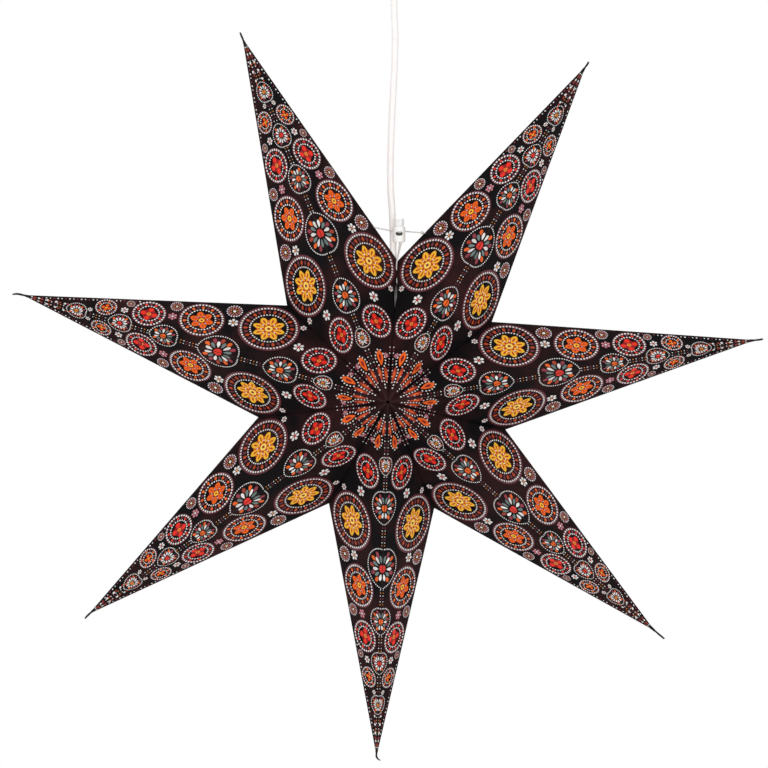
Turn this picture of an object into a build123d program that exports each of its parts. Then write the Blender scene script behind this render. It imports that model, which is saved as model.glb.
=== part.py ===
from build123d import *
import math
import os

# A folded card star with seven points that hangs on a lamp cord, with its lamp inside.
# Millimetres, Z up. The origin is where the bracket meets the ceiling, and the star faces -Y.

# Star
POINT_COUNT = 7
TIP_RADIUS = 291.0
SPIKE_WIDTH = 1.8
SPIKE_THICKNESS = 1.2
VALLEY_RADIUS = 102.0
HALF_DEPTH = 76.0
SEAM_ANGLE = 4.2
STAR_LEAN = 3.4
CARD = 0.4
LINER = 0.15
FLAP_WIDTH = 7.0
LINER_MARGIN = 0.7
APEX_HOLE_RADIUS = 1.6
# Hand folding leaves the corners a little off their even places, anticlockwise from the seam.
# Tips: degrees anticlockwise, reach outwards, length of the pinched end
TIPS = (
    (-2.1, 6.5, 4.5),
    (0.3, 3.6, 7.5),
    (1.6, 5.9, 4.2),
    (2.0, 6.2, 3.0),
    (0.2, -0.3, 9.7),
    (-0.9, 3.2, 5.9),
    (-0.7, 7.2, 3.5),
)
# Valleys, from one side of the seam round to the other: degrees anticlockwise, reach outwards
VALLEYS = (
    (-2.5, 3.2),
    (0.0, 0.0),
    (2.3, 1.1),
    (2.7, 0.1),
    (-0.1, 1.3),
    (-2.1, -1.6),
    (-1.4, -3.1),
    (0.0, 0.0),
)

# Windows of one facet: distance along the ridge from the apex, distance from the ridge, radius, lobes
WINDOWS = (
    (64.0, 21.0, 6.5, 4),
    (112.0, 38.0, 13.0, 8),
    (163.0, 27.0, 9.5, 6),
    (203.0, 18.0, 7.0, 4),
    (236.0, 12.0, 4.0, 4),
)
LOBE_DEPTH = 0.26

# Cord and what it hangs from
SEAM_DROP = 283.0
CORD_DIAMETER = 5.2
CORD_PLAY = 0.7
SEAM_PLAY = 0.4
ARC_SHARE = 0.45
BRACKET_LENGTH = 76.0
BRACKET_WIDTH = 20.0
BRACKET_THICKNESS = 2.0
SCREW_SPACING = 60.0
SCREW_HOLE = 4.5
CLAMP_WIDTH = 16.0
CLAMP_DEPTH = 14.0
CLAMP_HEIGHT = 18.0
CLAMP_SCREW = 3.0
BLOCK_LENGTH = 17.0
BLOCK_WIDTH = 12.0
BLOCK_HEIGHT = 9.0
BLOCK_PLACE = 17.5
BLOCK_SCREW = 2.6
LEAD_DIAMETER = 2.0
LEAD_PLAY = 0.4
CUP_RADIUS = 43.0
CUP_HEIGHT = 44.0
CUP_WALL = 1.8
CUP_FOOT_RADIUS = 15.0
CEILING_GAP = 0.5
BUSH_RADIUS = 5.6
BUSH_FLANGE_RADIUS = 8.5
BUSH_FLANGE = 2.0
BUSH_TAIL = 7.0
BUSH_SCREW = 2.5
BUSH_CHAMFER = 1.2
CUP_BAND = 10.0
SCREW_SLOT = 0.7

# Lamp holder, by depth below the seam
HOLDER_RADIUS = 13.3
HOLDER_WALL = 1.6
HOLDER_TOP = 18.0
HOLDER_ROOF = 6.0
CAP_LENGTH = 30.0
SKIRT_LENGTH = 20.0
CORE_HEIGHT = 13.0
CORE_PLAY = 0.2
SEAT_GAP = 0.3
GRIP_HEIGHT = 5.0
CORD_STUB = 2.0
TERMINAL_RADIUS = 1.6
TERMINAL_WELL = 4.0
TERMINAL_SINK = 1.0
SLEEVE_WALL = 0.4
THREAD_RADIUS = 6.8
THREAD_DEPTH = 0.75
THREAD_PITCH = 2.82
THREAD_TURNS = 5
THREAD_PLAY = 0.25
CONTACT_THICKNESS = 0.5
CONTACT_WIDTH = 4.0
CONTACT_DROP = 1.0
SLEEVE_GAP = 1.2
SKIRT_CHAMFER = 2.0

# Bulb
BALL_RADIUS = 22.5
GLASS_WALL = 0.7
BULB_LENGTH = 77.0
BULB_CAP_LENGTH = 21.0
NECK_RADIUS = 8.6
NECK_JOIN_ANGLE = 52.0
FILAMENT_COUNT = 4
FILAMENT_RADIUS = 0.9
FILAMENT_LENGTH = 24.0
FILAMENT_RING = 1.6
STEM_SEAT = 1.5
STEM_TAPER = 10.0
STEM_OVERLAP = 4.0
SOLDER_HEIGHT = 1.2
SOLDER_RADIUS = 2.2
INSULATOR_HEIGHT = 2.4
INSULATOR_RADIUS = 2.4
CAP_SHEET = 0.35
CAP_RIM = 2.0

# Tie string and its cord lock, by height above the seam
TIE_REACHES = (27.5, 30.0)
STRING_DIAMETER = 1.0
KNOT_RADIUS = 1.4
KNOT_INSET = 6.6
# Its two free ends: aside from the lock's middle, forward of the cord's axis
TAILS = ((1.0, 3.8), (2.6, 5.1))
TAIL_SEAM_X = 2.35
TAIL_DEPTH = 9.0
TIE_GAP = 0.6
TIE_SIDE = 0.5
TIE_HOLE = 1.5
LOCK_RADIUS = 5.0
LOCK_BOTTOM = 15.2
LOCK_TOP = 27.6
LOCK_WALL = 0.9
LOCK_FLOOR = 1.5
LOCK_HOLE_HEIGHT = 22.3
LOCK_HOLE_WIDTH = 5.4
LOCK_HOLE_RISE = 3.4
LOCK_ASIDE = 4.2
LOCK_FORWARD = 8.8
BUTTON_PLAY = 0.2
BUTTON_PROUD = 6.4
BUTTON_TRAVEL = 2.0
BUTTON_FOOT = 2.0
SPRING_WIRE = 0.5
SPRING_TURNS = 2.5

# Worked out from those
SEAM_Z = -SEAM_DROP
LEAN = math.radians(STAR_LEAN)
UP_ANGLE = 90.0 - STAR_LEAN
SPAN = (360.0 - SEAM_ANGLE) / POINT_COUNT
CENTRE = Vector(-VALLEY_RADIUS * math.sin(LEAN), 0, SEAM_Z - VALLEY_RADIUS * math.cos(LEAN))
FRONT_APEX = CENTRE + Vector(0, -HALF_DEPTH, 0)
BACK_APEX = CENTRE + Vector(0, HALF_DEPTH, 0)
CORD_RADIUS = CORD_DIAMETER / 2
CORD_TOP = -BRACKET_THICKNESS - CLAMP_HEIGHT / 2
CAP_TOP_Z = SEAM_Z - HOLDER_TOP
CAP_FOOT_Z = CAP_TOP_Z - CAP_LENGTH
SKIRT_FOOT_Z = CAP_FOOT_Z - SKIRT_LENGTH
GRIP_TOP_Z = CAP_TOP_Z - HOLDER_ROOF
CORD_FOOT = GRIP_TOP_Z - GRIP_HEIGHT - CORD_STUB
SLEEVE_INNER = THREAD_RADIUS + THREAD_PLAY
SLEEVE_OUTER = SLEEVE_INNER + THREAD_DEPTH + SLEEVE_WALL
CORE_RADIUS = HOLDER_RADIUS - HOLDER_WALL - CORE_PLAY
THREAD_LENGTH = THREAD_PITCH * THREAD_TURNS
CONTACT_Z = CAP_FOOT_Z - CONTACT_DROP
BULB_TOP_Z = CONTACT_Z - CONTACT_THICKNESS
BALL_Z = BULB_TOP_Z - BULB_LENGTH + BALL_RADIUS
LOCK_X = LOCK_ASIDE
LOCK_Y = -LOCK_FORWARD
CORD_CLEAR_RADIUS = CORD_RADIUS + CORD_PLAY + SEAM_PLAY

# The cord hangs nearly straight, with a slight bow to the left that it keeps from its coil.
CORD_ROUTE = (
    Vector(0, 0, CORD_TOP),
    Vector(0, 0, -90),
    Vector(-2.6, 0, -150),
    Vector(-3.6, 0, -205),
    Vector(0, 0, -250),
    Vector(0, 0, CORD_FOOT),
)


def tube(points, diameter, radii):
    """A round tube along straight runs joined by arcs."""
    path = FilletPolyline(*points, radius=radii) if radii else Polyline(*points)
    start = Plane(origin=path @ 0, z_dir=path % 0)
    return sweep(start * Circle(diameter / 2), path=path)


def corner_radii(points):
    """The largest arcs that the runs on each side of a corner allow."""
    radii = []
    for before, corner, after in zip(points, points[1:], points[2:]):
        turn = math.radians((corner - before).get_angle(after - corner))
        shorter = min((corner - before).length, (after - corner).length)
        radii.append(ARC_SHARE * shorter / math.tan(turn / 2))
    return radii


def turned(profile):
    """A solid turned about the cord's axis from (radius, height) points."""
    outline = Polyline(*[(radius, 0, height) for radius, height in profile], close=True)
    return revolve(make_face(outline), Axis.Z)


def upright(radius, low, high, x=0.0, y=0.0):
    """A cylinder that stands on Z."""
    return Pos(x, y, (low + high) / 2) * Cylinder(radius, high - low)


def across(radius, length, x, y, z, along):
    """A cylinder that lies along X or Y, about its middle."""
    turn = (0, 90, 0) if along == "X" else (90, 0, 0)
    return Pos(x, y, z) * Rotation(*turn) * Cylinder(radius, length)


def slotted(screw, axis, end):
    """A screw with a driver slot across one end, 0 for its lower end and -1 for its upper one."""
    face = screw.faces().sort_by(axis)[end]
    slot = Box(CLAMP_WIDTH, SCREW_SLOT, 2 * SCREW_SLOT)
    return screw - Plane(face) * slot


def faceted(corners, faces):
    """A solid with flat faces between the given corners."""
    skin = [Face(Wire.make_polygon([corners[i] for i in face], close=True)) for face in faces]
    return Solid(Shell(skin))


# Star points


def round_star(radius, angle):
    """A place in the star's middle plane, by its angle from +X."""
    turn = math.radians(angle)
    return CENTRE + Vector(radius * math.cos(turn), 0, radius * math.sin(turn))


class StarPoint:
    """The corners and planes of one point, counted anticlockwise from the seam."""

    def __init__(self, number):
        start = UP_ANGLE + SEAM_ANGLE / 2
        sway, reach, self.spike_length = TIPS[number]
        self.tip_angle = start + SPAN * (number + 0.5) + sway
        self.tip_radius = TIP_RADIUS + reach
        self.tip = round_star(self.tip_radius, self.tip_angle)
        self.valleys = []
        for fold in (number + 1, number):
            sway, reach = VALLEYS[fold]
            self.valleys.append(round_star(VALLEY_RADIUS + reach, start + SPAN * fold + sway))
        between = [(valley - CENTRE).normalized() for valley in self.valleys]
        self.outward = (between[0] + between[1]).normalized()

    def facet_normal(self, apex, valley):
        """The way out of the facet between an apex, the tip and a valley."""
        normal = (self.tip - apex).cross(valley - apex).normalized()
        return normal if normal.dot(apex - CENTRE) > 0 else -normal

    def body(self):
        """The full space of the point, from the star's axis to the tip."""
        corners = [FRONT_APEX, BACK_APEX, self.tip, *self.valleys]
        faces = [(0, 2, 3), (0, 2, 4), (1, 2, 3), (1, 2, 4), (0, 3, 1), (0, 4, 1)]
        return faceted(corners, faces)

    def hollow(self, depth):
        """A pyramid from the tip, past the star's axis, set in by depth from all four facets."""
        left, right = [self.facet_normal(FRONT_APEX, valley) for valley in self.valleys]
        spread = left.X * right.Z - left.Z * right.X
        inset = Vector((left.Z - right.Z) * depth / spread, 0, (right.X - left.X) * depth / spread)
        far = [self.tip + (p - self.tip) * 1.8 for p in (FRONT_APEX, BACK_APEX, *self.valleys)]
        corners = [self.tip + inset, *[p + inset for p in far]]
        faces = [(0, 1, 3), (0, 1, 4), (0, 2, 3), (0, 2, 4), (1, 3, 2), (1, 4, 2)]
        return faceted(corners, faces)

    def flap(self, valley):
        """The glue flap along both valley folds on one side, as thick as the card."""
        radius = (valley - CENTRE).length
        inset = FLAP_WIDTH * math.hypot(radius, HALF_DEPTH)
        inner_valley = valley + (CENTRE - valley) * (inset / HALF_DEPTH / radius)
        rise = Vector(0, inset / radius, 0)
        strips = []
        for apex, shift in ((FRONT_APEX, rise), (BACK_APEX, -rise)):
            outline = [valley, apex, apex + shift, inner_valley]
            strips.append(Face(Wire.make_polygon(outline, close=True)))
        inward = (valley - CENTRE).cross(Vector(0, 1, 0)).normalized()
        inward = inward if inward.dot(self.outward) > 0 else -inward
        return [Solid.extrude(strip, inward * CARD) for strip in strips]

    def facet_planes(self):
        """Each facet's own plane, with its x along the ridge, and the side its valley is on."""
        for apex in (FRONT_APEX, BACK_APEX):
            for valley in self.valleys:
                normal = self.facet_normal(apex, valley)
                plane = Plane(origin=apex, x_dir=self.tip - apex, z_dir=normal)
                yield plane, math.copysign(1.0, plane.y_dir.dot(valley - apex))

    def windows(self):
        """Rosette shaped cuts through the four facets."""
        cuts = []
        for plane, side in self.facet_planes():
            for along, aside, radius, lobes in WINDOWS:
                outline = rosette(along, side * aside, radius, lobes)
                cuts.append(extrude(plane * outline, amount=CARD * 2, both=True))
        return cuts

    def spike(self):
        """The pinched end of the card past the tip."""
        length = self.spike_length + 3 * CARD
        place = round_star(self.tip_radius + self.spike_length - length / 2, self.tip_angle)
        return Pos(place) * Rotation(0, -self.tip_angle, 0) * Box(length, SPIKE_THICKNESS, SPIKE_WIDTH)

    def card(self):
        folded = self.body() - self.hollow(CARD)
        for valley in self.valleys:
            folded = folded.fuse(*self.flap(valley))
        folded = folded.fuse(self.spike())
        return folded - self.windows() - apex_hole()

    def liner(self):
        """The thin paper that lies against the inside of the card, clear of the flaps."""
        shift = LINER_MARGIN / math.sin(math.radians(SPAN / 2))
        inner = self.body().moved(Location(self.outward * shift))
        return (inner & self.hollow(CARD)) - self.hollow(CARD + LINER)


def rosette(x, y, radius, lobes):
    """A flower outline of straight cuts, or a diamond where it has four lobes."""
    waist = 1 - LOBE_DEPTH
    corners = []
    for step in range(2 * lobes):
        reach = radius if step % 2 == 0 else radius * waist
        turn = math.pi * step / lobes
        corners.append((x + reach * math.cos(turn), y + reach * math.sin(turn)))
    return Polygon(*corners, align=None)


def apex_hole():
    """The small hole where all the folds meet, front and back."""
    return Pos(CENTRE) * Rotation(90, 0, 0) * Cylinder(APEX_HOLE_RADIUS, HALF_DEPTH * 3)


def tie_route():
    """The tie string's way from one edge beside the seam, past the cord and the lock, to the other edge."""
    edges = []
    for number, valley, reach in ((0, 1, TIE_REACHES[0]), (POINT_COUNT - 1, 0, TIE_REACHES[1])):
        point = StarPoint(number)
        edge = (point.tip - point.valleys[valley]).normalized()
        edges.append(point.valleys[valley] + edge * reach)
    string_z = SEAM_Z + LOCK_HOLE_HEIGHT + BUTTON_TRAVEL / 2
    before_cord = Vector(-TIE_SIDE, -CORD_CLEAR_RADIUS - TIE_GAP, string_z)
    behind_lock = Vector(LOCK_X, LOCK_Y + LOCK_RADIUS + STRING_DIAMETER, string_z)
    return [edges[0], before_cord, behind_lock, edges[1]]


def make_star():
    left_tie, before_cord, behind_lock, right_tie = tie_route()
    string_hole = Cylinder(STRING_DIAMETER / 2 * TIE_HOLE, 12)
    seam_cuts = [
        upright(CORD_CLEAR_RADIUS, SEAM_Z - 60, SEAM_Z + 20),
        Plane(origin=left_tie, z_dir=before_cord - left_tie) * string_hole,
        Plane(origin=right_tie, z_dir=behind_lock - right_tie) * string_hole,
    ]
    for number in range(POINT_COUNT):
        point = StarPoint(number)
        card = point.card()
        liner = point.liner() - apex_hole()
        if number in (0, POINT_COUNT - 1):
            card = card - seam_cuts
            liner = liner - seam_cuts
        nodes[f"star_point_{number + 1}"] = card
        nodes[f"star_liner_{number + 1}"] = liner


# Tie string and cord lock


def make_tie():
    left_tie, before_cord, behind_lock, right_tie = tie_route()
    left_way = (left_tie - before_cord).normalized()
    right_way = (right_tie - behind_lock).normalized()
    left_end = left_tie + left_way * KNOT_INSET
    right_end = right_tie + right_way * KNOT_INSET
    route = [left_end, before_cord, behind_lock, right_end]
    string = tube(route, STRING_DIAMETER, corner_radii(route))
    through_lock = across(STRING_DIAMETER / 2, LOCK_RADIUS * 2, LOCK_X, LOCK_Y, behind_lock.Z, "Y")
    tails = [hanging_tail(behind_lock, aside, forward) for aside, forward in TAILS]
    outer_knot = right_tie - right_way * (KNOT_RADIUS * 1.5)
    knots = []
    for place, way in ((left_end, left_way), (right_end, right_way), (outer_knot, right_way)):
        knot = Sphere(KNOT_RADIUS) - Cylinder(STRING_DIAMETER / 2, KNOT_RADIUS * 3)
        knots.append(Plane(origin=place, z_dir=way) * knot)
    nodes["tie_string"] = Compound(children=[string, through_lock, *tails, *knots])


def hanging_tail(behind_lock, aside, forward):
    """A free end of the string, from behind the lock down into the open seam."""
    route = [
        behind_lock + Vector(aside, -STRING_DIAMETER * 0.4, -STRING_DIAMETER * 1.1),
        behind_lock + Vector(aside, -STRING_DIAMETER * 0.4, LOCK_BOTTOM - LOCK_HOLE_HEIGHT),
        Vector(TAIL_SEAM_X, -forward, SEAM_Z - 2.0),
        Vector(TAIL_SEAM_X, -forward, SEAM_Z - TAIL_DEPTH),
    ]
    return tube(route, STRING_DIAMETER * 0.9, corner_radii(route))


def lock_hole(height, length):
    """The long hole through the cord lock, front to back."""
    slot = SlotOverall(LOCK_HOLE_WIDTH, LOCK_HOLE_RISE)
    face = Plane(origin=(LOCK_X, LOCK_Y, SEAM_Z + height), x_dir=(1, 0, 0), z_dir=(0, -1, 0)) * slot
    return extrude(face, amount=length / 2, both=True)


def make_lock():
    bottom = SEAM_Z + LOCK_BOTTOM
    top = SEAM_Z + LOCK_TOP
    bore = LOCK_RADIUS - LOCK_WALL
    floor = bottom + LOCK_FLOOR
    barrel = upright(LOCK_RADIUS, bottom, top, LOCK_X, LOCK_Y)
    barrel = fillet(barrel.edges().group_by(Axis.Z)[0], 0.9)
    barrel = fillet(barrel.edges().group_by(Axis.Z)[-1], 0.4)
    barrel = barrel - upright(bore, floor, top + 1, LOCK_X, LOCK_Y)
    nodes["lock_barrel"] = barrel - lock_hole(LOCK_HOLE_HEIGHT, 3 * LOCK_RADIUS)
    foot = SEAM_Z + LOCK_HOLE_HEIGHT + BUTTON_TRAVEL - LOCK_HOLE_RISE / 2 - BUTTON_FOOT
    button = upright(bore - BUTTON_PLAY, foot, top + BUTTON_PROUD, LOCK_X, LOCK_Y)
    button = fillet(button.edges().group_by(Axis.Z)[-1], 0.7)
    nodes["lock_button"] = button - lock_hole(LOCK_HOLE_HEIGHT + BUTTON_TRAVEL, 3 * LOCK_RADIUS)
    coil_radius = bore - BUTTON_PLAY - SPRING_WIRE
    low = floor + SPRING_WIRE / 2
    high = foot - SPRING_WIRE / 2
    coil = Helix((high - low) / SPRING_TURNS, high - low, coil_radius)
    wire = Plane(origin=coil @ 0, z_dir=coil % 0) * Circle(SPRING_WIRE / 2 * 0.98)
    nodes["lock_spring"] = Pos(LOCK_X, LOCK_Y, low) * sweep(wire, path=coil, is_frenet=True)


# Lamp holder


def seat_radius(depth):
    """How wide the holder may be at a depth below the seam, where the seam's flaps rest on it."""
    slope = HALF_DEPTH / VALLEY_RADIUS
    return slope * depth - FLAP_WIDTH * math.hypot(1, slope) - SEAT_GAP


def thread_profile(radius, depth, low):
    """Rounded thread ridges as (radius, height) points, from low upwards."""
    points = []
    for step in range(4 * THREAD_TURNS + 1):
        wave = (0.0, 0.5, 1.0, 0.5)[step % 4]
        points.append((radius + depth * wave, low + THREAD_PITCH * step / 4))
    return points


def make_holder():
    slope = HALF_DEPTH / VALLEY_RADIUS
    neck = seat_radius(HOLDER_TOP)
    shoulder_z = CAP_TOP_Z - (HOLDER_RADIUS - neck) / slope
    cavity_top = GRIP_TOP_Z
    inner = HOLDER_RADIUS - HOLDER_WALL
    cavity_neck = neck + (CAP_TOP_Z - cavity_top) * slope - HOLDER_WALL / math.cos(math.atan(slope))
    nodes["holder_cap"] = turned([
        (CORD_RADIUS, CAP_TOP_Z), (neck, CAP_TOP_Z),
        (HOLDER_RADIUS, shoulder_z), (HOLDER_RADIUS, CAP_FOOT_Z),
        (inner, CAP_FOOT_Z), (inner, shoulder_z - 1),
        (cavity_neck, cavity_top), (CORD_RADIUS, cavity_top),
    ])
    grip = upright(cavity_neck - CORE_PLAY, GRIP_TOP_Z - GRIP_HEIGHT, GRIP_TOP_Z)
    nodes["holder_grip"] = grip - upright(CORD_RADIUS, CORD_FOOT, CAP_TOP_Z)
    core_top = CAP_FOOT_Z + CORE_HEIGHT / 2
    core_foot = core_top - CORE_HEIGHT
    core = turned([
        (0, core_top), (CORE_RADIUS, core_top), (CORE_RADIUS, core_foot), (SLEEVE_OUTER, core_foot),
        (SLEEVE_OUTER, CONTACT_Z), (0, CONTACT_Z),
    ])
    wells = []
    screws = []
    leads = []
    for side in (1, -1):
        well_x = side * CORE_RADIUS * 0.62
        well_foot = core_top - TERMINAL_WELL
        wells.append(upright(TERMINAL_RADIUS, well_foot, core_top + 1, well_x))
        screws.append(upright(TERMINAL_RADIUS, well_foot, core_top - TERMINAL_SINK, well_x))
        lead = [
            Vector(side * LEAD_DIAMETER * 0.52, 0, CORD_FOOT),
            Vector(side * LEAD_DIAMETER * 0.52, 0, CORD_FOOT - 3),
            Vector(well_x, 0, core_top + 4),
            Vector(well_x, 0, core_top - TERMINAL_SINK),
        ]
        leads.append(tube(lead, LEAD_DIAMETER, [2.0, 2.0]))
    nodes["holder_core"] = core - wells
    nodes["holder_terminals"] = Compound(children=screws)
    nodes["holder_leads"] = Compound(children=leads)
    sleeve_top = CONTACT_Z - SLEEVE_GAP
    sleeve_foot = sleeve_top - THREAD_LENGTH
    inside = thread_profile(SLEEVE_INNER, THREAD_DEPTH, sleeve_foot)
    nodes["thread_sleeve"] = turned([*inside, (SLEEVE_OUTER, sleeve_top), (SLEEVE_OUTER, sleeve_foot)])
    contact = Box(SLEEVE_INNER * 1.6, CONTACT_WIDTH, CONTACT_THICKNESS)
    nodes["centre_contact"] = Pos(0, 0, CONTACT_Z - CONTACT_THICKNESS / 2) * contact
    lip = SLEEVE_OUTER + 0.3
    bore = inner + 0.1
    nodes["holder_skirt"] = turned([
        (bore, CAP_FOOT_Z), (HOLDER_RADIUS, CAP_FOOT_Z),
        (HOLDER_RADIUS, SKIRT_FOOT_Z + SKIRT_CHAMFER), (HOLDER_RADIUS - SKIRT_CHAMFER, SKIRT_FOOT_Z),
        (lip, SKIRT_FOOT_Z), (lip, core_foot - 3), (CORE_RADIUS - 1, core_foot), (bore, core_foot),
    ])


# Bulb


def make_bulb():
    insulator_top = BULB_TOP_Z - SOLDER_HEIGHT
    shell_foot = BULB_TOP_Z - BULB_CAP_LENGTH
    root = THREAD_RADIUS - THREAD_DEPTH
    ridges = thread_profile(root, THREAD_DEPTH, shell_foot + CAP_RIM)
    bore = root - CAP_SHEET
    ridge_top = ridges[-1][1]
    shoulder = max(insulator_top - INSULATOR_HEIGHT, ridge_top + 0.2)
    nodes["bulb_cap"] = turned([
        (bore, shell_foot), (NECK_RADIUS - 0.6, shell_foot), *ridges[1:],
        (root, shoulder), (bore, shoulder),
    ])
    nodes["bulb_insulator"] = turned([
        (0, insulator_top), (INSULATOR_RADIUS, insulator_top), (root, shoulder), (0, shoulder),
    ])
    nodes["bulb_contact"] = upright(SOLDER_RADIUS, insulator_top, BULB_TOP_Z)
    nodes["bulb_glass"] = bulb_envelope(shell_foot)
    stem_top = shell_foot + STEM_SEAT
    stem_foot = BALL_Z + FILAMENT_LENGTH / 2 - STEM_OVERLAP
    nodes["bulb_stem"] = turned([
        (0, stem_top), (bore, stem_top), (bore, shell_foot),
        (FILAMENT_RING, shell_foot - STEM_TAPER), (FILAMENT_RING, stem_foot), (0, stem_foot),
    ])
    sticks = []
    for number in range(FILAMENT_COUNT):
        stick = upright(FILAMENT_RADIUS, BALL_Z - FILAMENT_LENGTH / 2, BALL_Z + FILAMENT_LENGTH / 2)
        turn = 360 / FILAMENT_COUNT * (number + 0.5)
        sticks.append(Rotation(0, 0, turn) * Pos(FILAMENT_RADIUS + FILAMENT_RING, 0, 0) * stick)
    nodes["bulb_filaments"] = Compound(children=sticks)


def bulb_envelope(neck_z):
    """A ball that runs up into a neck, hollow, with an even wall."""
    skins = []
    for cut in (0, GLASS_WALL):
        ball = BALL_RADIUS - cut
        neck = NECK_RADIUS - cut
        join = math.radians(NECK_JOIN_ANGLE)
        join_r = ball * math.cos(join)
        join_z = BALL_Z + ball * math.sin(join)
        half_way = (join - math.pi / 2) / 2
        ball_arc = ThreePointArc(
            (0, 0, BALL_Z - ball),
            (ball * math.cos(half_way), 0, BALL_Z + ball * math.sin(half_way)),
            (join_r, 0, join_z),
        )
        sweep_in = Spline(
            (join_r, 0, join_z), (neck, 0, neck_z),
            tangents=((-math.sin(join), 0, math.cos(join)), (0, 0, 1)),
        )
        edges = [ball_arc, sweep_in]
        edges.append(Polyline((neck, 0, neck_z), (0, 0, neck_z), (0, 0, BALL_Z - ball)))
        skins.append(revolve(make_face(edges), Axis.Z))
    return skins[0] - skins[1]


# Ceiling fitting


def make_ceiling():
    plate_z = -BRACKET_THICKNESS
    plate = Pos(0, 0, plate_z / 2) * extrude(
        SlotOverall(BRACKET_LENGTH, BRACKET_WIDTH), amount=BRACKET_THICKNESS / 2, both=True
    )
    holes = [upright(SCREW_HOLE / 2, plate_z - 1, 1, side * SCREW_SPACING / 2) for side in (1, -1)]
    nodes["ceiling_bracket"] = plate - holes
    clamp_foot = plate_z - CLAMP_HEIGHT
    clamp = Pos(0, 0, (plate_z + clamp_foot) / 2) * Box(CLAMP_WIDTH, CLAMP_DEPTH, CLAMP_HEIGHT)
    clamp = fillet(clamp.edges().filter_by(Axis.Z), 2.5)
    clamp = clamp - upright(CORD_RADIUS, clamp_foot - 1, CORD_TOP)
    clamp = clamp - upright(CORD_RADIUS + 0.8, clamp_foot - 1, clamp_foot + 1.5)
    screw_x = CORD_RADIUS + CLAMP_SCREW / 2 + 1.0
    screw_z = (CORD_TOP + clamp_foot) / 2
    screw_holes = []
    clamp_screws = []
    for side in (1, -1):
        screw_holes.append(across(CLAMP_SCREW / 2, CLAMP_DEPTH + 2, side * screw_x, 0, screw_z, "Y"))
        shank = across(CLAMP_SCREW / 2, CLAMP_DEPTH, side * screw_x, 0, screw_z, "Y")
        head = across(CLAMP_SCREW * 0.9, 1.6, side * screw_x, -CLAMP_DEPTH / 2 - 0.8, screw_z, "Y")
        clamp_screws.append(slotted(shank.fuse(head), Axis.Y, 0))
    clamp = clamp - screw_holes
    way_rise = LEAD_DIAMETER + LEAD_PLAY
    way = Box(CLAMP_WIDTH, 2 * (LEAD_DIAMETER + LEAD_PLAY), way_rise)
    nodes["cord_clamp"] = clamp - Pos(CLAMP_WIDTH / 2 - LEAD_DIAMETER, 0, CORD_TOP + way_rise / 2) * way
    nodes["clamp_screws"] = Compound(children=clamp_screws)
    block_z = plate_z - BLOCK_HEIGHT / 2
    block = Pos(BLOCK_PLACE, 0, block_z) * Box(BLOCK_WIDTH, BLOCK_LENGTH, BLOCK_HEIGHT)
    ways = []
    block_screws = []
    leads = []
    for side in (1, -1):
        way_y = side * BLOCK_LENGTH / 4
        ways.append(across(LEAD_DIAMETER * 0.75, BLOCK_WIDTH + 2, BLOCK_PLACE, way_y, block_z, "X"))
        low = plate_z - BLOCK_HEIGHT
        ways.append(upright(BLOCK_SCREW / 2, low - 1, block_z, BLOCK_PLACE, way_y))
        screw = upright(BLOCK_SCREW / 2, low + 0.6, block_z - LEAD_DIAMETER / 2, BLOCK_PLACE, way_y)
        block_screws.append(slotted(screw, Axis.Z, 0))
        start_y = side * LEAD_DIAMETER * 0.52
        lead_z = CORD_TOP + LEAD_DIAMETER / 2
        lead = [
            Vector(0, start_y, lead_z),
            Vector(CLAMP_WIDTH / 2 + 0.6, start_y, lead_z),
            Vector(BLOCK_PLACE - BLOCK_WIDTH / 2 - 0.6, way_y, block_z),
            Vector(BLOCK_PLACE + 1, way_y, block_z),
        ]
        leads.append(tube(lead, LEAD_DIAMETER, [0.8, 0.8]))
    nodes["terminal_block"] = block - ways
    nodes["block_screws"] = Compound(children=block_screws)
    nodes["ceiling_leads"] = Compound(children=leads)


def make_canopy():
    rim = -CEILING_GAP
    foot = rim - CUP_HEIGHT
    outer = cup_skin(CUP_RADIUS, CUP_FOOT_RADIUS, rim, foot)
    inner = cup_skin(CUP_RADIUS - CUP_WALL, CUP_FOOT_RADIUS - CUP_WALL, rim + 1, foot + CUP_WALL)
    nodes["canopy_cup"] = outer - inner - upright(BUSH_RADIUS, foot - 1, foot + CUP_WALL + 1)
    bore = CORD_RADIUS + CORD_PLAY
    tail = foot - BUSH_TAIL
    floor = foot + CUP_WALL
    bush = turned([
        (bore, floor + BUSH_FLANGE), (BUSH_FLANGE_RADIUS, floor + BUSH_FLANGE),
        (BUSH_FLANGE_RADIUS, floor), (BUSH_RADIUS, floor), (BUSH_RADIUS, tail + BUSH_CHAMFER),
        (BUSH_RADIUS - BUSH_CHAMFER, tail), (bore, tail),
    ])
    screw_z = foot - BUSH_TAIL / 2
    screw_length = BUSH_RADIUS - CORD_RADIUS - 0.1
    screw_y = -(CORD_RADIUS + 0.1 + screw_length / 2)
    nodes["canopy_bush"] = bush - across(BUSH_SCREW / 2, screw_length + 2, 0, screw_y - 0.9, screw_z, "Y")
    screw = across(BUSH_SCREW / 2, screw_length, 0, screw_y, screw_z, "Y")
    nodes["bush_screw"] = slotted(screw, Axis.Y, 0)


def cup_skin(top_radius, foot_radius, top, foot):
    """A cup turned from a straight rim band and a curved shoulder."""
    band = top - CUP_BAND
    shoulder = Spline((top_radius, 0, band), (foot_radius, 0, foot), tangents=((0, 0, -1), (-1, 0, 0)))
    outline = [Polyline((0, 0, foot), (0, 0, top), (top_radius, 0, top), (top_radius, 0, band)), shoulder]
    outline.append(Line((foot_radius, 0, foot), (0, 0, foot)))
    return revolve(make_face(outline), Axis.Z)


def make_cord():
    nodes["pendant_cord"] = tube(CORD_ROUTE, CORD_DIAMETER, corner_radii(CORD_ROUTE))


nodes = {}
make_ceiling()
make_canopy()
make_cord()
make_holder()
make_bulb()
make_star()
make_tie()
make_lock()

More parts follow.
